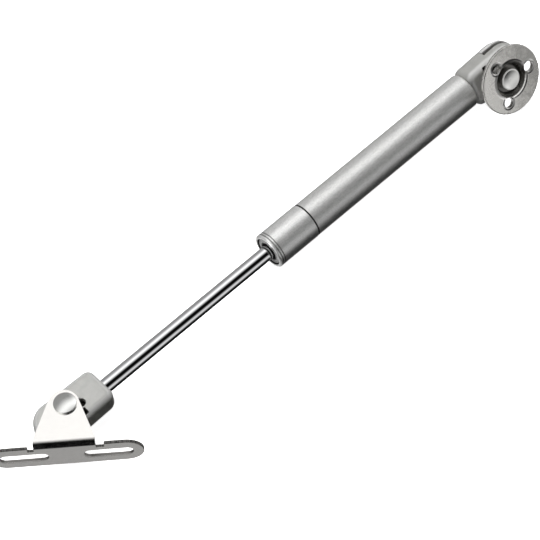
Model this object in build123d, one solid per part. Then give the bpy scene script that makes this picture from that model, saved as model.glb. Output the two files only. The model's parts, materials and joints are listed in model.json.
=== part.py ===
from build123d import *
from math import atan2, cos, radians, sin, sqrt
import os

# Lid stay: a 6/15 gas spring with a ball socket moulded on each end. The rod's socket snaps on a ball
# stud riveted to a slotted lid plate, the tube's socket on one riveted to a round wall flange.
# Millimetres, +Z up. Origin: centre of the lid plate's mounting face. X runs along the plate, the
# mounting face looks along -Y, and the lid ball stud points along +Z.
# Strut frame: origin at the lid ball, +Z along the strut towards the wall end, +X towards the plate's ear.
# Socket frame: origin at the ball, +X towards the strut, +Z towards the bracket.

# --- lid plate: one folded sheet, a slotted plate with an ear ---
plate_len = 58.4
plate_w = 13.8
plate_t = 1.2
plate_corner_r = 6.8
plate_edge_r = 0.3
slot_len = 18.7
slot_w = 5.0
slot_pitch = 31.9
ball_height = 17.2          # mounting face to the lid ball
ball_drop = 1.3             # plate's middle line down to the lid ball
ear_base_w = 23.3
ear_top_r = 6.0
stud_shift = 0.7            # stud from the plate's middle, along it
bend_inner_r = 1.6
relief_span = 28.8          # over the far sides of the two relief notches
relief_shift = 0.4          # notches' middle from the plate's
relief_depth = 2.4

# --- strut pose ---
strut_angle = 40.0          # from the plate's length
wall_twist = 62.5           # wall stud about the strut, from the lid stud

# --- gas spring ---
tube_d = 15.0
tube_wall = 1.0
tube_end_t = 2.0
tube_end_r = 1.2
seam_chamfer = 0.4
collar_d = 15.2
collar_len = 20.4
collar_bore_d = 12.4
collar_seat_depth = 15.0
collar_chamfer = 0.5
collar_groove_w = 0.5
collar_groove_depth = 0.25
collar_groove_pitch = 1.1
collar_groove_count = 2
spigot_len = 3.0
spigot_bore_d = 9.6
rod_d = 6.0
rod_shown = 85.2
stroke = 70.0
rod_thread_len = 8.6
rod_tail_d = 3.6
rod_tail_shown = 0.5

# --- guide stack in the collar, from the front ---
guide_recess = 0.4
guide_len = 8.4
guide_chamfer = 0.5
wiper_seat_d = 7.6
wiper_seat_depth = 2.6
wiper_len = 1.8
wiper_taper = 0.6           # length of the wiper's sloped lip
seal_len = 3.6
seal_lip_t = 0.6            # lip's wall round the rod
seal_lip_groove_d = 8.4
seal_lip_depth = 1.6

# --- piston ---
buffer_len = 2.0
buffer_d = 11.0
buffer_edge = 0.5
piston_len = 5.0
piston_d = 12.6
ring_w = 1.6
ring_depth = 1.3
orifice_d = 1.0
orifice_count = 3
orifice_pitch_d = 8.2
washer_t = 0.8
washer_d = 9.0
nut_flats = 7.0
nut_t = 2.2

# --- ball sockets ---
ball_d = 8.0
head_w = 17.1               # across the nose
head_end_w = 15.8           # across the strut end
head_top = 6.4              # ball to the face beside the bracket
nose_reach = 14.5
rod_head_reach = 17.5
tube_head_reach = 12.8
head_edge_r = 2.8
head_corner_r = 3.2
mouth_d = 7.4
mouth_chamfer = 0.6
window_hole_d = 3.8
window_x = 5.5
window_y = -2.0
notch_x = 4.3
notch_w = 2.0
notch_inner_y = -4.3
notch_outer_y = -7.1
window_depth = 3.6
stub_d = 6.0
stub_len = 4.6

# --- retaining clips: a sprung band low in a channel round the nose, hooked into both flanks ---
channel_w = 3.4
clip_t = 0.6
clip_w = 1.5
clip_proud = 0.4            # band's face beyond the head's
clip_leg_end = 0.4          # legs stop this far short of the ball's middle
clip_hook = 1.8             # how far the hooked ends reach in from the flank
clip_side_gap = 0.3

# --- ball studs ---
neck_d = 4.6
lid_shoulder_d = 8.0
lid_shoulder_t = 0.8
shank_d = 5.0
rivet_head_d = 8.9
rivet_head_h = 1.5
rivet_dome = 0.6            # rise of the domed face
rivet_edge_r = 0.25
wall_shoulder_d = 9.0
wall_shoulder_t = 2.8
tail_d = 9.0
tail_rim_w = 0.7
tail_rim_r = 0.25
tail_dish = 0.4

# --- wall flange: a dished pressed disc ---
flange_d = 29.0
flange_t = 1.5
flange_edge_r = 0.5
flange_standoff = 15.2      # ball to the wall face
dish_depth = 3.0
dish_mouth_d = 14.6
dish_floor_d = 11.4
dish_mouth_r = 0.9
dish_foot_r = 0.5
screw_pcd = 19.2
screw_count = 3
screw_hole_d = 4.2
screw_turn = 58.0
hole_lip = 0.35

# --- clearances ---
ear_gap = 2.4               # socket face to the ear
run_gap = 0.03              # rod in guide, wiper and seal, ring in its groove
seat_gap = 0.02             # pieces seated in a bore
ball_gap = 0.05
ring_gap = 0.05             # piston ring to the tube bore
stop_gap = 0.3              # buffer to the collar's spigot
washer_gap = 0.3            # seal washer round the rod
stub_gap = 0.3              # end stub to the bottom of its bore
end_clear = 2.3             # rod's tail to the tube's closed end, rod pushed in
tail_clear = 0.3            # stud tail below the wall face

# --- worked out along the strut, from the lid ball ---
collar_front = rod_head_reach + rod_shown
seam = collar_front + collar_len
guide_front = collar_front + guide_recess
seal_front = guide_front + guide_len
seat_end = collar_front + collar_seat_depth
spigot_end = seam + spigot_len
buffer_front = spigot_end + stop_gap
piston_front = buffer_front + buffer_len
piston_end = piston_front + piston_len
washer_end = piston_end + washer_t
nut_end = washer_end + nut_t
tail_end = nut_end + rod_tail_shown
tube_end = tail_end + stroke + end_clear + tube_end_t
ball_spacing = tube_end + tube_head_reach
ear_inner = head_top + ear_gap
ear_outer = ear_inner + plate_t
bend_outer_r = bend_inner_r + plate_t

strut_dir = Vector(cos(radians(strut_angle)), sin(radians(strut_angle)), 0)
lid_ball = Vector(stud_shift, ball_height, -ball_drop)
wall_ball = lid_ball + strut_dir * ball_spacing
strut = Location(Plane(origin=lid_ball, x_dir=(0, 0, 1), z_dir=strut_dir))
wall_axis = Vector(0, 0, 1).rotate(Axis((0, 0, 0), strut_dir), wall_twist)
rod_socket = Location(Plane(origin=lid_ball, x_dir=strut_dir, z_dir=(0, 0, 1)))
tube_socket = Location(Plane(origin=wall_ball, x_dir=strut_dir * -1, z_dir=wall_axis))


def disc(radius, start, end, hole=0):
    """A round disc or ring on the Z axis, from start to end."""
    ring = Circle(radius) - Circle(hole) if hole else Circle(radius)
    return Pos(0, 0, start) * extrude(ring, end - start)


def turned(points):
    """A solid turned about Z from a half outline of (radius, height) points, some with a rounding."""
    outline = make_face(Polyline(*[point[:2] for point in points], close=True))
    for radius, height, rounding in [point for point in points if len(point) == 3]:
        corner = outline.vertices().sort_by_distance((radius, height, 0))[0]
        outline = fillet(corner, rounding)
    return revolve(Plane.XZ * outline, Axis.Z)


def ball_radius_of_cap(half_width, rise):
    """Radius of the sphere whose cap is this wide and this high."""
    return (half_width**2 + rise**2) / (2 * rise)


# ---------------------------------------------------------------- lid side
def ear_outline():
    """The ear seen along Z: straight flanks that run tangent into a round top."""
    half = ear_base_w / 2
    drop = ball_height - bend_outer_r
    flank = sqrt(half**2 + drop**2 - ear_top_r**2)
    lean = atan2(drop, half) + atan2(ear_top_r, flank)
    touch = (half - flank * cos(lean), bend_outer_r + flank * sin(lean))
    left = (-touch[0], touch[1])
    edges = Polyline(left, (-half, bend_outer_r), (half, bend_outer_r), touch)
    edges += ThreePointArc(touch, (0, ball_height + ear_top_r), left)
    return make_face(edges)


def make_lid_plate():
    """Slotted plate, quarter bend and ear, all one sheet thickness."""
    bend_start = ear_outer - ball_drop - bend_outer_r
    blank = RectangleRounded(plate_len, plate_w, plate_corner_r)
    relief_floor = plate_w / 2 - relief_depth
    blank -= Pos(relief_shift, relief_floor + plate_w / 2) * Rectangle(relief_span, plate_w)
    blank += Pos(0, bend_start / 2) * Rectangle(ear_base_w, bend_start)
    blank -= Locations((-slot_pitch / 2, 0), (slot_pitch / 2, 0)) * SlotOverall(slot_len, slot_w)
    plate = extrude(Plane.XZ * blank, -plate_t)
    quarter = Pos(bend_outer_r / 2, bend_start + bend_outer_r / 2) * Rectangle(bend_outer_r, bend_outer_r)
    bend = Pos(bend_outer_r, bend_start) * (Circle(bend_outer_r) - Circle(bend_inner_r)) & quarter
    fold = extrude(Plane.YZ * bend, ear_base_w / 2, both=True)
    profile = ear_outline() - Pos(stud_shift, ball_height) * Circle(shank_d / 2)
    ear = Pos(0, 0, ear_inner - ball_drop) * extrude(profile, plate_t, dir=(0, 0, 1))
    face_edges = plate.faces().sort_by(Axis.Y)[0].outer_wire().edges()
    rim = [edge for edge in face_edges if (edge @ 0.5).Z < relief_floor - plate_edge_r]
    return fillet(rim, plate_edge_r) + fold + ear


def ball_stud(shoulder_start, shoulder_end, shoulder_r):
    """A ball on a neck, with a shoulder that seats on the bracket."""
    neck = disc(neck_d / 2, 0, shoulder_end)
    return Sphere(ball_d / 2) + neck + disc(shoulder_r, shoulder_start, shoulder_end)


def make_lid_stud():
    stud = ball_stud(ear_inner - lid_shoulder_t, ear_inner, lid_shoulder_d / 2)
    stud += disc(shank_d / 2 - seat_gap, ear_inner, ear_outer)
    r = rivet_head_d / 2
    top = ear_outer + rivet_head_h
    dome_r = ball_radius_of_cap(r, rivet_dome)
    head = disc(r, ear_outer, top) & Pos(0, 0, top - dome_r) * Sphere(dome_r)
    rim = head.edges().filter_by(lambda edge: edge.is_closed).sort_by(Axis.Z)[-1]
    return stud + fillet(rim, rivet_edge_r)


# ---------------------------------------------------------------- ball sockets
def clip_band(bottom, width, gap=0):
    """A band round the nose and along both flanks, its ends hooked inwards, grown by the gap."""
    r = head_w / 2 + clip_proud
    nose_x = head_w / 2 - nose_reach
    leg_end = -clip_leg_end + gap
    leg = leg_end - nose_x
    thick = clip_t + gap
    hook_w = clip_t + 2 * gap
    hook = clip_hook + gap
    band = Pos(nose_x, 0) * (Circle(r) - Circle(r - thick))
    band -= Pos(nose_x + r, 0) * Rectangle(2 * r, 2 * r)
    for side in (1, -1):
        band += Pos(nose_x + leg / 2, side * (r - thick / 2)) * Rectangle(leg, thick)
        band += Pos(leg_end - hook_w / 2, side * (r - hook / 2)) * Rectangle(hook_w, hook)
    return Pos(0, 0, bottom) * extrude(band, width)


def head_plan(reach):
    """The head from above: a round nose, then flanks that close in a little towards the strut."""
    r = head_w / 2
    nose = Pos(r - nose_reach, 0) * Circle(r)
    end = Pos(reach, 0) * Rectangle(reach / 2, head_end_w)
    hull = make_hull(nose.edges() + end.edges())
    return hull - Pos(reach + head_w / 2, 0) * Rectangle(head_w, 2 * head_w)


def make_head(reach):
    plan = head_plan(reach)
    block = extrude(plan, head_top)
    corners = block.edges().filter_by(Axis.Z).group_by(Axis.X)[-1]
    block = fillet(corners, head_corner_r)
    block = fillet(block.faces().sort_by(Axis.Z)[-1].edges(), head_edge_r)
    upper = plan & Pos(0, head_w) * Rectangle(4 * nose_reach, 2 * head_w)
    back = revolve(upper, Axis.X)
    back = fillet(back.edges().filter_by(GeomType.CIRCLE).sort_by(Axis.X)[-1], head_corner_r)
    back -= Pos(0, 0, head_w) * Box(4 * nose_reach, 2 * head_w, 2 * head_w)
    head = block + back
    head -= Sphere(ball_d / 2 + ball_gap)
    head -= disc(mouth_d / 2, 0, head_top)
    mouth = turned([
        (0, head_top - mouth_chamfer), (mouth_d / 2, head_top - mouth_chamfer),
        (mouth_d / 2 + mouth_chamfer, head_top), (0, head_top),
    ])
    head -= mouth
    floor = head_top - window_depth
    head -= Pos(window_x, window_y, 0) * disc(window_hole_d / 2, floor, head_top)
    notch_y = (notch_inner_y + notch_outer_y) / 2
    notch = Pos(notch_x, notch_y) * Rectangle(notch_w, notch_inner_y - notch_outer_y)
    head -= Pos(0, 0, floor) * extrude(notch, window_depth)
    return head - clip_band(-channel_w / 2, channel_w, seat_gap)


def make_rod_head():
    return make_head(rod_head_reach) - Rot(0, 90, 0) * disc(
        rod_d / 2, rod_head_reach - rod_thread_len, rod_head_reach
    )


def make_tube_head():
    return make_head(tube_head_reach) - Rot(0, 90, 0) * disc(
        stub_d / 2, tube_head_reach - stub_len, tube_head_reach
    )


def make_clip():
    return clip_band(clip_side_gap - channel_w / 2, clip_w)


# ---------------------------------------------------------------- gas spring
def make_tube():
    r = tube_d / 2
    bore = r - tube_wall
    return turned([
        (bore, seam), (r, seam, seam_chamfer), (r, tube_end, tube_end_r), (0, tube_end),
        (0, tube_end - tube_end_t), (bore, tube_end - tube_end_t),
    ])


def make_end_stub():
    return disc(stub_d / 2 - seat_gap, tube_end, tube_end + stub_len - stub_gap)


def make_front_collar():
    r = collar_d / 2
    bore = collar_bore_d / 2
    body = disc(r, collar_front, seam)
    body = chamfer(body.edges().sort_by(Axis.Z)[0], collar_chamfer)
    body = chamfer(body.edges().sort_by(Axis.Z)[-1], seam_chamfer)
    for number in range(collar_groove_count):
        start = collar_front + (number + 1) * collar_groove_pitch
        body -= disc(r, start, start + collar_groove_w, r - collar_groove_depth)
    body += disc(tube_d / 2 - tube_wall - seat_gap, seam, spigot_end)
    body -= disc(bore, collar_front, seat_end)
    return body - disc(spigot_bore_d / 2, seat_end, spigot_end)


def make_rod_guide():
    guide = disc(collar_bore_d / 2 - seat_gap, guide_front, seal_front, rod_d / 2 + run_gap)
    front = guide.edges().group_by(Axis.Z)[0].filter_by(GeomType.CIRCLE)
    guide = chamfer(front.sort_by(SortBy.RADIUS)[-1], guide_chamfer)
    return guide - disc(wiper_seat_d / 2, guide_front, guide_front + wiper_seat_depth)


def make_rod_wiper():
    inner = rod_d / 2 + run_gap
    outer = wiper_seat_d / 2 - seat_gap
    end = guide_front + wiper_seat_depth
    start = end - wiper_len
    return turned([(inner, start), (outer, start + wiper_taper), (outer, end), (inner, end)])


def make_rod_seal():
    inner = rod_d / 2 + run_gap
    end = seal_front + seal_len
    seal = disc(collar_bore_d / 2 - seat_gap, seal_front, end, inner)
    return seal - disc(seal_lip_groove_d / 2, end - seal_lip_depth, end, inner + seal_lip_t)


def make_seal_washer():
    return disc(collar_bore_d / 2 - seat_gap, seal_front + seal_len, seat_end, rod_d / 2 + washer_gap)


def make_piston_rod():
    rod = disc(rod_d / 2 - seat_gap, rod_head_reach - rod_thread_len + seat_gap, rod_head_reach)
    rod += disc(rod_d / 2, rod_head_reach, piston_front)
    return rod + disc(rod_tail_d / 2, piston_front, tail_end)


def make_rebound_buffer():
    buffer = disc(buffer_d / 2, buffer_front, piston_front, rod_d / 2 + seat_gap)
    outer = buffer.edges().filter_by(GeomType.CIRCLE).sort_by(SortBy.RADIUS)[-2:]
    return chamfer(outer, buffer_edge)


def make_piston():
    piston = disc(piston_d / 2, piston_front, piston_end, rod_tail_d / 2 + seat_gap)
    ring_start = piston_front + (piston_len - ring_w) / 2
    groove_r = piston_d / 2 - ring_depth
    piston -= disc(piston_d / 2, ring_start - run_gap, ring_start + ring_w + run_gap, groove_r)
    orifices = PolarLocations(orifice_pitch_d / 2, orifice_count)
    return piston - orifices * disc(orifice_d / 2, piston_front, piston_end)


def make_piston_ring():
    outer = tube_d / 2 - tube_wall - ring_gap
    start = piston_front + (piston_len - ring_w) / 2
    return disc(outer, start, start + ring_w, piston_d / 2 - ring_depth + run_gap)


def make_piston_washer():
    return disc(washer_d / 2, piston_end, washer_end, rod_tail_d / 2 + seat_gap)


def make_piston_nut():
    nut = RegularPolygon(nut_flats / 2, 6, major_radius=False) - Circle(rod_tail_d / 2 + seat_gap)
    return Pos(0, 0, washer_end) * extrude(nut, nut_t)


# ---------------------------------------------------------------- wall side
def make_wall_flange():
    wall = flange_standoff
    floor = wall - dish_depth
    mouth, foot = dish_mouth_d / 2, dish_floor_d / 2
    flange = turned([
        (shank_d / 2, floor), (foot, floor, dish_foot_r), (mouth, wall, dish_mouth_r),
        (flange_d / 2, wall, flange_edge_r), (flange_d / 2, wall - flange_t, flange_edge_r),
        (mouth + flange_t / 2, wall - flange_t), (foot + flange_t / 2, floor - flange_t),
        (shank_d / 2, floor - flange_t),
    ])
    hole_r = screw_hole_d / 2
    hole = turned([
        (0, wall - flange_t), (hole_r, wall - flange_t), (hole_r, wall - hole_lip),
        (hole_r + hole_lip, wall), (0, wall),
    ])
    return flange - PolarLocations(screw_pcd / 2, screw_count, start_angle=screw_turn) * hole


def make_flange_stud():
    floor = flange_standoff - dish_depth
    seat = floor - flange_t
    top = flange_standoff - tail_clear
    stud = ball_stud(seat - wall_shoulder_t, seat, wall_shoulder_d / 2)
    stud += disc(shank_d / 2 - seat_gap, seat, floor)
    tail = disc(tail_d / 2, floor, top)
    tail = fillet(tail.edges().sort_by(Axis.Z)[-1], tail_rim_r)
    dish_r = ball_radius_of_cap(tail_d / 2 - tail_rim_w, tail_dish)
    return stud + (tail - Pos(0, 0, top - tail_dish + dish_r) * Sphere(dish_r))


os.makedirs("parts", exist_ok=True)
pieces = {
    "lid_plate": make_lid_plate(),
    "lid_stud": Pos(*lid_ball) * make_lid_stud(),
    "rod_head": rod_socket * make_rod_head(),
    "rod_head_clip": rod_socket * make_clip(),
    "piston_rod": strut * make_piston_rod(),
    "rebound_buffer": strut * make_rebound_buffer(),
    "piston": strut * make_piston(),
    "piston_ring": strut * make_piston_ring(),
    "piston_washer": strut * make_piston_washer(),
    "piston_nut": strut * make_piston_nut(),
    "front_collar": strut * make_front_collar(),
    "rod_guide": strut * make_rod_guide(),
    "rod_wiper": strut * make_rod_wiper(),
    "rod_seal": strut * make_rod_seal(),
    "seal_washer": strut * make_seal_washer(),
    "tube": strut * make_tube(),
    "end_stub": strut * make_end_stub(),
    "tube_head": tube_socket * make_tube_head(),
    "tube_head_clip": tube_socket * make_clip(),
    "wall_flange": tube_socket * make_wall_flange(),
    "flange_stud": tube_socket * make_flange_stud(),
}

for name, piece in pieces.items():
    export_step(piece, f"parts/{name}.step")
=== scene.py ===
import json
from math import cos, degrees, radians, sin

import bmesh
import bpy
from mathutils import Matrix, Vector


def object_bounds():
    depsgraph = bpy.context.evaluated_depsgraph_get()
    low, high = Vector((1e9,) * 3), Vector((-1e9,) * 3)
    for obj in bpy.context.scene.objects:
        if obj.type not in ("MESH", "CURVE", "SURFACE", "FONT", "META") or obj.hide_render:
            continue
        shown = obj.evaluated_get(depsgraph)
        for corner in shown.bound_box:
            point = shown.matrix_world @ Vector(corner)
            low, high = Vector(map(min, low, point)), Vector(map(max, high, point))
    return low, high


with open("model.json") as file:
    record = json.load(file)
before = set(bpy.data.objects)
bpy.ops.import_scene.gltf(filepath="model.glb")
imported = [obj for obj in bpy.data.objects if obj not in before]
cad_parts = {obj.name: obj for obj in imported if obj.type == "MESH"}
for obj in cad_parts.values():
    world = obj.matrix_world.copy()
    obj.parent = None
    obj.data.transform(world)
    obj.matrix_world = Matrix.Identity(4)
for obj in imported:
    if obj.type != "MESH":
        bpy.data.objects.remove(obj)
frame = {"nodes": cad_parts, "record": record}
nodes = frame["nodes"]
cad_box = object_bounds()

# The strut lies level, turned this far from the lid plate's length.
STRUT_TURN = radians(40)
STRUT_AXIS = Vector((cos(STRUT_TURN), sin(STRUT_TURN), 0))
# The lights stand round the strut. Angles round it start on the viewer's side
# and grow to the lower right.
VIEWER = Vector((0.04, -0.52, 0.85))
TOWARD = (VIEWER - STRUT_AXIS * VIEWER.dot(STRUT_AXIS)).normalized()
ACROSS = STRUT_AXIS.cross(TOWARD)
STAY_MIDDLE = Vector((0.08, 0.07, 0))

MM = 0.001
joints = {joint["name"]: joint for joint in frame["record"]["behaviour"]["joints"]}
LID_BALL = Vector(joints["lid_bracket_swivel"]["pos_m"])
WALL_BALL = Vector(joints["wall_bracket_swivel"]["pos_m"])
WALL_AXIS = Vector(joints["wall_bracket_swivel"]["axis"])
mounts = {mount["name"]: mount["dims"] for mount in frame["record"]["mounts"]}
SLOT_MIDDLE = mounts["lid_screws"]["spacing_x_mm"] / 2 * MM
SLOT_HALF_WIDTH = mounts["lid_screws"]["hole_r_mm"] * MM
SLOT_HALF_RUN = mounts["lid_screws"]["slot_length_mm"] / 2 * MM - SLOT_HALF_WIDTH
SCREW_RADIUS = mounts["wall_screws"]["pcd_mm"] / 2 * MM
SCREW_TURNS = [radians(58 + 120 * number) for number in range(3)]
SHEET = 1.2 * MM                            # lid plate's thickness
FOLD_START = 5.8 * MM                       # where the plate starts to bend
FOLD_HALF_WIDTH = 11.9 * MM                 # a little over the bend's half width
COLLAR_BORE = 6.3 * MM                      # a little over its radius
COLLAR_GROOVES = (1.35 * MM, 2.45 * MM)     # their middles, behind the collar's front
# places along the strut: where the collar starts, and where it meets the tube
COLLAR_FRONT = min(corner.co.dot(STRUT_AXIS) for corner in nodes["front_collar"].data.vertices)
SEAM = min(corner.co.dot(STRUT_AXIS) for corner in nodes["tube"].data.vertices)


# ------------------------------------------------------------------ node helpers
class Finish:
    """A surface finish: one shader, with colour, gloss and relief from patterns in object space."""

    def __init__(self, name, color, metallic, roughness):
        self.material = bpy.data.materials.new(name)
        self.material.use_nodes = True
        self.material.diffuse_color = (*color, 1)
        self.tree = self.material.node_tree
        self.shader = self.tree.nodes["Principled BSDF"]
        self.color = color
        self.shader.inputs["Base Color"].default_value = (*color, 1)
        self.shader.inputs["Metallic"].default_value = metallic
        self.shader.inputs["Roughness"].default_value = roughness
        self.place = self.tree.nodes.new("ShaderNodeTexCoord").outputs["Object"]
        self.shade = self.sheen = self.relief = None

    def node(self, kind, *sources, **settings):
        """A node with its settings made and its first inputs linked or set."""
        node = self.tree.nodes.new(kind)
        for setting, value in settings.items():
            setattr(node, setting, value)
        for socket, source in zip(node.inputs, sources):
            if hasattr(source, "is_output"):
                self.tree.links.new(source, socket)
            elif source is not None:
                socket.default_value = source
        return node

    def calc(self, operation, *values):
        return self.node("ShaderNodeMath", *values, operation=operation).outputs[0]

    def calc3(self, operation, *values):
        node = self.node("ShaderNodeVectorMath", *values, operation=operation)
        return node.outputs["Value" if operation in ("DOT_PRODUCT", "DISTANCE", "LENGTH") else "Vector"]

    def put(self, source, socket):
        self.tree.links.new(source, self.shader.inputs[socket])

    # ---- places and distances
    def turned(self, turn=(0, 0, 0), stretch=(1, 1, 1), centre=(0, 0, 0)):
        """Object coordinates moved to a centre, turned, then stretched along their own axes."""
        mapping = self.node("ShaderNodeMapping", self.place, vector_type="TEXTURE")
        mapping.inputs["Location"].default_value = centre
        mapping.inputs["Rotation"].default_value = turn
        mapping.inputs["Scale"].default_value = stretch
        return mapping.outputs["Vector"]

    def socket_place(self, ball, x_axis, z_axis):
        """Coordinates with the ball at nought, X towards the strut and Z towards the bracket."""
        turn = Matrix((x_axis, z_axis.cross(x_axis), z_axis)).transposed().to_euler()
        return self.turned(turn, centre=ball)

    def split(self, place):
        return self.node("ShaderNodeSeparateXYZ", place).outputs[:3]

    def rise(self, value, low, high, top=1.0):
        """Nought below the low number, the top above the high one, with a soft step between."""
        step = self.node(
            "ShaderNodeMapRange", value, low, high, 0.0, top, interpolation_type="SMOOTHSTEP"
        )
        return step.outputs["Result"]

    def within(self, value, centre, half, soft):
        """One inside a span about a centre, nought outside it."""
        off = self.calc("ABSOLUTE", self.calc("SUBTRACT", value, centre))
        return self.calc("SUBTRACT", 1.0, self.rise(off, half - soft, half + soft))

    def ring_distance(self, place, centre):
        """Distance from a line through the centre, along the place's own Z."""
        flat = self.calc3("MULTIPLY", place, (1, 1, 0))
        return self.calc3("DISTANCE", flat, (centre[0], centre[1], 0))

    def round_strut(self):
        """Distance along the strut, and distance from its middle line."""
        along = self.calc3("DOT_PRODUCT", self.place, STRUT_AXIS)
        from_ball = self.calc3("SUBTRACT", self.place, LID_BALL)
        return along, self.calc3("LENGTH", self.calc3("CROSS_PRODUCT", from_ball, STRUT_AXIS))

    def both(self, *masks):
        total = masks[0]
        for mask in masks[1:]:
            total = self.calc("MULTIPLY", total, mask)
        return total

    # ---- patterns
    def noise(self, per_mm, detail=2, where=None, distortion=0.0):
        """Soft cloudy grain, with so many grains to the millimetre."""
        node = self.node("ShaderNodeTexNoise", where or self.place)
        node.inputs["Scale"].default_value = per_mm / MM
        node.inputs["Detail"].default_value = detail
        node.inputs["Distortion"].default_value = distortion
        return node.outputs["Fac"]

    def spread(self, value, low, high, onto_low=0.3, onto_high=0.7):
        """A pattern's middle range stretched onto the given numbers."""
        return self.node("ShaderNodeMapRange", value, onto_low, onto_high, low, high).outputs["Result"]

    # ---- what the shader gets
    def blend_color(self, mask, under, over):
        mix = self.node("ShaderNodeMix", data_type="RGBA")
        for socket, source in ((0, mask), (6, under), (7, over)):
            if hasattr(source, "is_output"):
                self.tree.links.new(source, mix.inputs[socket])
            else:
                mix.inputs[socket].default_value = (*source, 1)
        self.shade = mix.outputs[2]
        self.put(self.shade, "Base Color")

    def tint(self, value, dark, light):
        """Base colour that wanders between two shades of the finish."""
        shades = [[min(1, c * share) for c in self.color] for share in (dark, light)]
        self.blend_color(self.spread(value, 0.0, 1.0), *shades)

    def gloss(self, value, low, high):
        self.sheen = self.spread(value, low, high)
        self.put(self.sheen, "Roughness")

    def over(self, mask, color, roughness):
        """A second shade and gloss laid over the first where the mask is one."""
        self.blend_color(mask, self.shade, color)
        self.sheen = self.node("ShaderNodeMix", mask, None, self.sheen, roughness).outputs[0]
        self.put(self.sheen, "Roughness")

    def bump(self, value, depth_mm, strength=1.0):
        """Relief of so many millimetres, laid over any relief already there."""
        node = self.node("ShaderNodeBump")
        node.inputs["Strength"].default_value = strength
        node.inputs["Distance"].default_value = depth_mm * MM
        self.tree.links.new(value, node.inputs["Height"])
        if self.relief is not None:
            self.tree.links.new(self.relief, node.inputs["Normal"])
        self.relief = node.outputs["Normal"]
        self.put(self.relief, "Normal")


# ------------------------------------------------------------------ finishes
# painted shade for the collar's bore and the seam between collar and tube
GAP_SHADE_BLACK = (0.03, 0.03, 0.03)
# painted shade for the sockets' cored pockets and clip channel, paler on the tube socket
SOCKET_SHADE_BLACK = (0.035, 0.033, 0.03)
SOCKET_SHADE_GREY = (0.16, 0.16, 0.155)
SOCKET_GREY = (0.38, 0.38, 0.365)
# painted highlight for the sockets' rounded top edges
HIGHLIGHT_GREY = (0.50, 0.50, 0.49)
# painted highlight for the flange's dish lip and screw-hole lips
HIGHLIGHT_NICKEL = (0.90, 0.89, 0.87)


def satin_silver_paint(name, color, roughness):
    """Silver lacquer over a drawn tube: flake sparkle, faint grain along the strut, painted shade in
    the gaps, a painted highlight on the collar's rim.
    """
    paint = Finish(name, color, 0.62, roughness)
    drawn = paint.turned((0, 0, STRUT_TURN), (5, 1, 1))
    flake = paint.noise(4.0, 1)
    lines = paint.noise(1.8, 3, drawn)
    sand = paint.noise(1.6, 3)
    paint.tint(paint.calc("MULTIPLY_ADD", paint.calc("SUBTRACT", lines, sand), 0.5, flake), 0.84, 1.14)
    paint.gloss(lines, roughness - 0.05, roughness + 0.05)
    along, radius = paint.round_strut()
    # painted highlight: a pale band round the collar's front rim
    rim_highlight = paint.rise(along, COLLAR_FRONT + 0.6 * MM, COLLAR_FRONT + 0.4 * MM)
    paint.over(rim_highlight, (0.93, 0.93, 0.92), 0.24)
    # painted shade: dark lines in the collar's two grooves
    for groove in COLLAR_GROOVES:
        line = paint.within(along, COLLAR_FRONT + groove, 0.24 * MM, 0.08 * MM)
        paint.over(line, (0.22, 0.22, 0.22), 0.5)
    # painted shade: black inside the collar's bore and in the seam between collar and tube
    inside = paint.rise(radius, COLLAR_BORE + 0.05 * MM, COLLAR_BORE - 0.05 * MM)
    bore_shade = paint.both(inside, paint.rise(along, SEAM, SEAM - MM))
    for gap_shade in (bore_shade, paint.within(along, SEAM, 0.36 * MM, 0.10 * MM)):
        paint.over(gap_shade, GAP_SHADE_BLACK, 0.6)
    paint.bump(sand, 0.03, 0.35)
    paint.bump(flake, 0.012, 0.5)
    paint.bump(lines, 0.010, 0.4)
    return paint.material


def hard_chrome(name):
    """Ground and polished rod chrome, with hairlines round the rod."""
    chrome = Finish(name, (0.90, 0.90, 0.91), 1.0, 0.06)
    ground = chrome.turned((0, 0, STRUT_TURN), (1, 12, 12))
    lines = chrome.noise(6.0, 2, ground)
    chrome.gloss(lines, 0.04, 0.09)
    chrome.bump(lines, 0.001, 0.2)
    chrome.tint(chrome.noise(0.15, 2), 0.97, 1.0)
    return chrome.material


def cast_grey(name, pocket, ball, x_axis, z_axis):
    """Matt grey socket moulding: fine spark-eroded skin, painted highlight on the rounded top edges,
    painted shade in the pocket and channel.
    """
    cast = Finish(name, SOCKET_GREY, 0.12, 0.42)
    skin = cast.noise(3.2, 3)
    cloud = cast.noise(0.28, 3, distortion=0.6)
    cast.tint(cloud, 0.92, 1.07)
    cast.gloss(cloud, 0.36, 0.48)
    place = cast.socket_place(ball, x_axis, z_axis)
    x, y, z = cast.split(place)
    # measured from the ball: the cored hole and the notch beside the ball's mouth
    below_top = cast.rise(z, 6.0 * MM, 5.5 * MM)
    hole = cast.rise(cast.ring_distance(place, (5.5 * MM, -2.0 * MM)), 2.0 * MM, 1.88 * MM)
    notch = cast.both(
        cast.within(x, 4.3 * MM, 1.02 * MM, 0.06 * MM),
        cast.within(y, -5.7 * MM, 1.42 * MM, 0.06 * MM),
    )
    # painted shade: the cored hole and notch take the pocket colour, a dark shade
    cored = cast.both(below_top, cast.calc("MAXIMUM", hole, notch))
    cast.over(cored, pocket, 0.6)
    # the clip's channel, round the nose and along both flanks, filled with painted shade
    channel = cast.both(
        cast.within(z, 0.0, 1.74 * MM, 0.06 * MM),
        cast.rise(x, -0.30 * MM, -0.42 * MM),
    )
    # painted highlight: the rounded edges round the top face made lighter on every side
    edge_highlight = cast.both(cast.rise(z, 3.6 * MM, 5.0 * MM), cast.rise(z, 6.38 * MM, 6.1 * MM))
    cast.blend_color(edge_highlight, cast.shade, HIGHLIGHT_GREY)
    # painted shade over the clip's channel
    cast.over(channel, SOCKET_SHADE_BLACK, 0.6)
    cast.bump(skin, 0.03, 0.35)
    cast.bump(cloud, 0.06, 0.3)
    return cast.material


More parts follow.
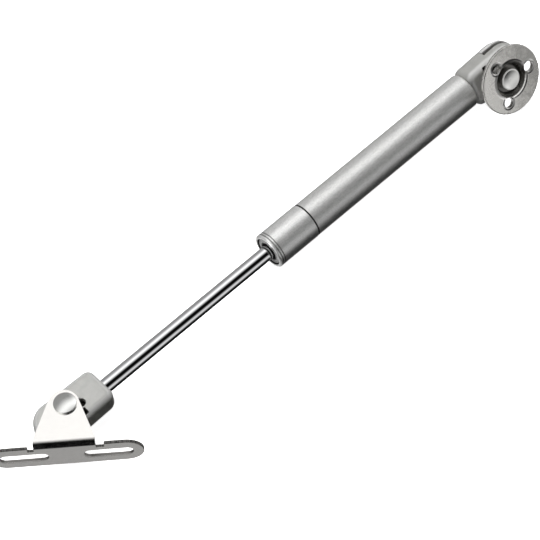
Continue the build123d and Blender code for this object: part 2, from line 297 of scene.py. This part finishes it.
def bright_nickel(name, color, low, high):
    """Nickel over steel: rolling grain underneath, a soft bloom on top."""
    nickel = Finish(name, color, 1.0, low)
    bloom = nickel.noise(0.35, 3, distortion=0.8)
    rolled = nickel.noise(4.5, 2, nickel.turned(stretch=(8, 1, 1)))
    nickel.tint(bloom, 0.97, 1.02)
    nickel.gloss(bloom, low, high)
    nickel.bump(rolled, 0.004, 0.3)
    nickel.bump(bloom, 0.02, 0.15)
    return nickel


def folded_nickel(name, color, low, high):
    """Nickel over folded sheet: rolled over at the punched slots, rougher where it was sheared and
    painted dark there as painted shade.
    """
    nickel = bright_nickel(name, color, low, high)
    x, y, z = nickel.split(nickel.place)
    sheared = nickel.both(
        nickel.rise(y, 0.01 * MM, 0.05 * MM),
        nickel.rise(y, SHEET - 0.01 * MM, SHEET - 0.05 * MM),
    )
    tear = nickel.noise(2.4, 2, nickel.turned(stretch=(1, 6, 1)))
    torn = nickel.both(sheared, nickel.spread(tear, 0.8, 1.0))
    # the fold lies within the sheet's thickness as well, but it is bent there and not sheared
    fold = nickel.both(
        nickel.rise(z, FOLD_START - 0.05 * MM, FOLD_START + 0.05 * MM),
        nickel.within(x, 0.0, FOLD_HALF_WIDTH, 0.1 * MM),
    )
    outside = nickel.both(torn, nickel.calc("SUBTRACT", 1.0, fold))
    along = nickel.calc("ABSOLUTE", nickel.calc("SUBTRACT", nickel.calc("ABSOLUTE", x), SLOT_MIDDLE))
    past_end = nickel.calc("MAXIMUM", nickel.calc("SUBTRACT", along, SLOT_HALF_RUN), 0.0)
    from_slot = nickel.calc3("LENGTH", nickel.node("ShaderNodeCombineXYZ", past_end, z).outputs[0])
    # the sheared edges away from the fold are rougher, and painted near black as painted shade
    nickel.over(outside, (0.055, 0.052, 0.048), 0.55)
    # painted shade on the sheared walls round the slots, less dark than the outer edges
    slot_wall_shade = nickel.both(torn, nickel.rise(from_slot, 3.0 * MM, 2.8 * MM))
    nickel.over(slot_wall_shade, (0.26, 0.25, 0.24), 0.45)
    nickel.bump(nickel.rise(from_slot, 2.4 * MM, 3.3 * MM), 0.08, 1.0)
    return nickel.material


def mottled_nickel(name, color):
    """Barrel-plated pressing: cloudy nickel, painted lighter towards the strut, painted highlights on
    the lips, painted shade in the dish.
    """
    plate = Finish(name, color, 1.0, 0.30)
    cloud = plate.noise(0.22, 4, distortion=1.4)
    marks = plate.noise(1.3, 3)
    place = plate.socket_place(WALL_BALL, STRUT_AXIS * -1, WALL_AXIS)
    x, _, z = plate.split(place)
    patchy = plate.calc("MULTIPLY_ADD", marks, 0.4, plate.calc("MULTIPLY", cloud, 0.6))
    # painted light: the tint grows lighter along x, towards the strut
    plate.tint(plate.calc("MULTIPLY_ADD", x, 0.018 / MM, patchy), 0.62, 1.25)
    plate.gloss(cloud, 0.20, 0.34)
    radius = plate.ring_distance(place, (0, 0))
    # painted shade deep in the dish, round the stud
    dish_shade = plate.both(plate.rise(z, 14.4 * MM, 12.8 * MM), plate.rise(radius, 7.4 * MM, 6.6 * MM))
    plate.over(dish_shade, (0.16, 0.157, 0.15), 0.30)
    # painted highlight: a pale ring on the dish's lip
    plate.over(plate.within(radius, 7.6 * MM, 0.9 * MM, 0.5 * MM), HIGHLIGHT_NICKEL, 0.30)
    plate.bump(plate.rise(radius, 6.4 * MM, 8.8 * MM), 1.3, 1.0)
    for turn in SCREW_TURNS:
        hole = (SCREW_RADIUS * cos(turn), SCREW_RADIUS * sin(turn))
        off = plate.ring_distance(place, hole)
        # painted highlight: a pale ring on each screw hole's lip
        plate.over(plate.within(off, 2.6 * MM, 0.55 * MM, 0.35 * MM), HIGHLIGHT_NICKEL, 0.30)
        plate.bump(plate.rise(off, 3.2 * MM, 2.0 * MM), 0.7, 1.0)
    plate.bump(marks, 0.03, 0.3)
    plate.bump(cloud, 0.12, 0.35)
    return plate.material


def rivet_nickel(name):
    """The lid stud: the dome of its head stands a little to one side."""
    rivet = bright_nickel(name, (0.86, 0.86, 0.84), 0.20, 0.28)
    dome = rivet.ring_distance(rivet.place, LID_BALL + Vector((3.6, -1.8, 0)) * MM)
    square = rivet.calc("MULTIPLY", dome, dome)
    rivet.bump(rivet.spread(square, 1.0, 0.0, 0.0, (8.8 * MM) ** 2), 1.8, 1.0)
    return rivet.material


def plain_metal(name, color, roughness, metallic=1.0):
    """Small turned or sheared steel, seen at most at an edge."""
    steel = Finish(name, color, metallic, roughness)
    grain = steel.noise(3.0, 2)
    steel.tint(grain, 0.90, 1.05)
    steel.gloss(grain, roughness * 0.85, roughness * 1.2)
    steel.bump(grain, 0.01, 0.3)
    return steel.material


def plain_polymer(name, color, roughness, depth_mm):
    """Rubber or acetal: fine grain and a little shade variation."""
    poly = Finish(name, color, 0.0, roughness)
    poly.shader.inputs["Specular IOR Level"].default_value = 0.3
    grain = poly.noise(4.0, 2)
    poly.tint(grain, 0.88, 1.10)
    poly.gloss(grain, roughness * 0.9, min(1, roughness * 1.1))
    poly.bump(grain, depth_mm, 0.4)
    return poly.material


def shaded_guide(name, color, roughness):
    """The rod guide's face: pale acetal, with black painted shade close round the rod and at its outer
    edge.
    """
    guide = Finish(name, color, 0.0, roughness)
    grain = guide.noise(4.0, 2)
    guide.tint(grain, 0.90, 1.06)
    guide.gloss(grain, roughness * 0.9, roughness * 1.1)
    _, radius = guide.round_strut()
    round_rod = guide.rise(radius, 4.6 * MM, 4.0 * MM)
    outer_edge = guide.rise(radius, 5.7 * MM, 5.9 * MM)
    # painted shade: black close round the rod and at the guide's outer edge
    guide_shade = guide.calc("MAXIMUM", round_rod, outer_edge)
    guide.over(guide_shade, (0.02, 0.02, 0.02), 0.5)
    guide.bump(grain, 0.006, 0.4)
    return guide.material


FINISHES = {
    "tube": satin_silver_paint("tube_paint", (0.66, 0.66, 0.65), 0.37),
    "collar": satin_silver_paint("collar_paint", (0.72, 0.72, 0.71), 0.34),
    "rod": hard_chrome("rod_chrome"),
    "bracket": folded_nickel("lid_plate_nickel", (0.84, 0.825, 0.80), 0.14, 0.21),
    "stud": bright_nickel("stud_nickel", (0.80, 0.80, 0.78), 0.10, 0.20).material,
    "flange": mottled_nickel("flange_nickel", (0.70, 0.69, 0.66)),
    "clip": plain_metal("clip_spring_steel", (0.92, 0.92, 0.91), 0.30, 0.5),
    "guide": shaded_guide("guide_acetal", (0.86, 0.86, 0.85), 0.38),
    "rubber": plain_polymer("black_rubber", (0.012, 0.012, 0.012), 0.70, 0.02),
    "piston": plain_metal("piston_aluminium", (0.72, 0.72, 0.74), 0.30),
    "ring": plain_polymer("piston_ring_polymer", (0.80, 0.79, 0.75), 0.45, 0.006),
    "hardware": plain_metal("zinc_plate", (0.62, 0.63, 0.64), 0.35),
}
OWN_FINISHES = {
    "rod_head": cast_grey("rod_socket_grey", SOCKET_SHADE_BLACK, LID_BALL, STRUT_AXIS, Vector((0, 0, 1))),
    "tube_head": cast_grey("tube_socket_grey", SOCKET_SHADE_GREY, WALL_BALL, STRUT_AXIS * -1, WALL_AXIS),
    "lid_stud": rivet_nickel("rivet_nickel"),
}


def dress_nodes():
    """Gives each solid its own finish where it has one, else the finish of the material slot it is
    listed under.
    """
    for part in frame["record"]["subparts"]:
        finish = OWN_FINISHES.get(part["node"]) or FINISHES[part["material_slot"]]
        piece = nodes[part["node"]]
        if not piece.material_slots:
            piece.data.materials.append(finish)
        for place in piece.material_slots:
            place.material = finish


# ------------------------------------------------------------------ studio
def stage_plane(name, half, height, material):
    mesh = bpy.data.meshes.new(name)
    shape = bmesh.new()
    bmesh.ops.create_grid(shape, x_segments=1, y_segments=1, size=half)
    bmesh.ops.translate(shape, verts=shape.verts, vec=STAY_MIDDLE + Vector((0, 0, height)))
    shape.to_mesh(mesh)
    shape.free()
    plane = bpy.data.objects.new(name, mesh)
    bpy.context.collection.objects.link(plane)
    mesh.materials.append(material)
    return plane


def lay_floor():
    """A pale lit table: it shows soft shadows but throws no light of its own up at the stay."""
    white = bpy.data.materials.new("table_white")
    white.use_nodes = True
    shader = white.node_tree.nodes["Principled BSDF"]
    shader.inputs["Base Color"].default_value = (0.92, 0.92, 0.92, 1)
    shader.inputs["Roughness"].default_value = 0.9
    shader.inputs["Emission Color"].default_value = (1, 1, 1, 1)
    shader.inputs["Emission Strength"].default_value = 0.92
    floor = stage_plane("table", 4.0, cad_box[0][2] - 0.0002, white)
    floor.visible_glossy = False
    floor.visible_diffuse = False
    floor.visible_shadow = False


def hang_backdrop():
    """A pale room that only the camera sees, behind the table's far edge and below it."""
    pale = bpy.data.materials.new("backdrop_white")
    pale.use_nodes = True
    tree = pale.node_tree
    tree.nodes.remove(tree.nodes["Principled BSDF"])
    glow = tree.nodes.new("ShaderNodeEmission")
    glow.inputs["Color"].default_value = (0.97, 0.97, 0.97, 1)
    tree.links.new(glow.outputs["Emission"], tree.nodes["Material Output"].inputs["Surface"])
    mesh = bpy.data.meshes.new("backdrop")
    shape = bmesh.new()
    bmesh.ops.create_icosphere(shape, subdivisions=3, radius=9.0)
    shape.to_mesh(mesh)
    shape.free()
    room = bpy.data.objects.new("backdrop", mesh)
    bpy.context.collection.objects.link(room)
    mesh.materials.append(pale)
    room.visible_diffuse = False
    room.visible_glossy = False
    room.visible_transmission = False
    room.visible_shadow = False


def surround_light():
    """What the polished faces mirror: panels round the strut, a wide one overhead, a thin one low."""
    world = bpy.data.worlds.new("studio")
    bpy.context.scene.world = world
    world.use_nodes = True
    world.cycles_visibility.diffuse = False
    tree = world.node_tree
    background = tree.nodes["Background"]
    direction = tree.nodes.new("ShaderNodeTexCoord").outputs["Generated"]

    def along(vector):
        dot = tree.nodes.new("ShaderNodeVectorMath")
        dot.operation = "DOT_PRODUCT"
        dot.inputs[1].default_value = vector
        tree.links.new(direction, dot.inputs[0])
        return dot.outputs["Value"]

    def math(operation, *values):
        node = tree.nodes.new("ShaderNodeMath")
        node.operation = operation
        for socket, value in zip(node.inputs, values):
            if hasattr(value, "is_output"):
                tree.links.new(value, socket)
            else:
                socket.default_value = value
        return node.outputs[0]

    def soft_step(value, low, high, level):
        step = tree.nodes.new("ShaderNodeMapRange")
        step.interpolation_type = "SMOOTHSTEP"
        step.inputs["From Min"].default_value = low
        step.inputs["From Max"].default_value = high
        step.inputs["To Max"].default_value = level
        tree.links.new(value, step.inputs["Value"])
        return step.outputs["Result"]

    degrees_round = math("MULTIPLY", math("ARCTAN2", along(ACROSS), along(TOWARD)), degrees(1))
    end_on = along(STRUT_AXIS)

    def panel(centre, half_width, soft, level):
        """A soft-edged panel running along the strut: place and widths in degrees, then its level."""
        off = math("WRAP", math("SUBTRACT", degrees_round, centre), 180.0, -180.0)
        return soft_step(math("ABSOLUTE", off), half_width + soft, half_width - soft, level)

    overhead = panel(-48, 24, 22, 1.0)
    side_wall = panel(-110, 30, 20, 0.25)
    behind = panel(180, 22, 16, 0.5)
    # a thin strip low on the right, only towards the wall end, so the plate's fold sees none of it
    strip = math("MULTIPLY", panel(62, 18, 18, 0.6), soft_step(end_on, -0.25, 0.10, 1.0))
    # a small lamp low in front, seen in the lips of the flange's dish and holes
    lamp = math("MULTIPLY", panel(78, 18, 6, 1.0), soft_step(end_on, -0.54, -0.46, 1.0))
    lamp = math("MULTIPLY", lamp, soft_step(end_on, -0.28, -0.38, 1.0))
    # dim walls below and at both ends, seen in the plate's mounting face and from some sides
    low_wall = math("MULTIPLY", panel(140, 20, 8, 0.3), soft_step(end_on, 0.20, 0.02, 1.0))
    flange_end_wall = soft_step(end_on, 0.50, 0.70, 0.25)
    plate_end_wall = soft_step(end_on, -0.80, -0.92, 0.35)
    total = overhead
    for light in (side_wall, behind, strip, lamp, low_wall, flange_end_wall, plate_end_wall):
        total = math("ADD", total, light)
    tree.links.new(total, background.inputs["Color"])
    background.inputs["Strength"].default_value = 1.25


def soft_box(name, direction, energy):
    """A large soft box for the matt surfaces, kept out of the mirror-like faces."""
    light = bpy.data.lights.new(name, "AREA")
    light.shape = "RECTANGLE"
    light.size = 0.9
    light.size_y = 0.6
    light.energy = energy
    box = bpy.data.objects.new(name, light)
    bpy.context.collection.objects.link(box)
    box.visible_glossy = False
    box.location = STAY_MIDDLE + Vector(direction).normalized() * 0.9
    box.rotation_euler = Vector(direction).to_track_quat("Z", "Y").to_euler()


def place_camera():
    """Looks down on the stay from in front of the lid plate, from well back with a long lens."""
    azimuth, elevation, roll = radians(4.440), radians(58.275), radians(-8.329)
    target = Vector((0.080076, 0.070112, 0.006471))
    back = Vector((sin(azimuth) * cos(elevation), -cos(azimuth) * cos(elevation), sin(elevation)))
    level = Vector((cos(azimuth), sin(azimuth), 0))
    upright = back.cross(level)
    right = level * cos(roll) + upright * sin(roll)
    up = upright * cos(roll) - level * sin(roll)
    lens = bpy.data.cameras.new("camera")
    lens.sensor_width = 36
    lens.lens = 166.67
    lens.clip_start = 0.01
    camera = bpy.data.objects.new("camera", lens)
    bpy.context.collection.objects.link(camera)
    spot = target + back * 0.96305
    camera.matrix_world = Matrix((
        (right.x, up.x, back.x, spot.x),
        (right.y, up.y, back.y, spot.y),
        (right.z, up.z, back.z, spot.z),
        (0, 0, 0, 1),
    ))
    bpy.context.scene.camera = camera


dress_nodes()
lay_floor()
hang_backdrop()
surround_light()
soft_box("key_box", (-0.22, 0.26, 0.94), 11.0)
soft_box("end_fill", (0.95, 0.10, 0.35), 0.8)
soft_box("front_fill", (-0.75, -0.60, 0.30), 1.2)
place_camera()
bpy.context.scene.view_settings.view_transform = "Standard"
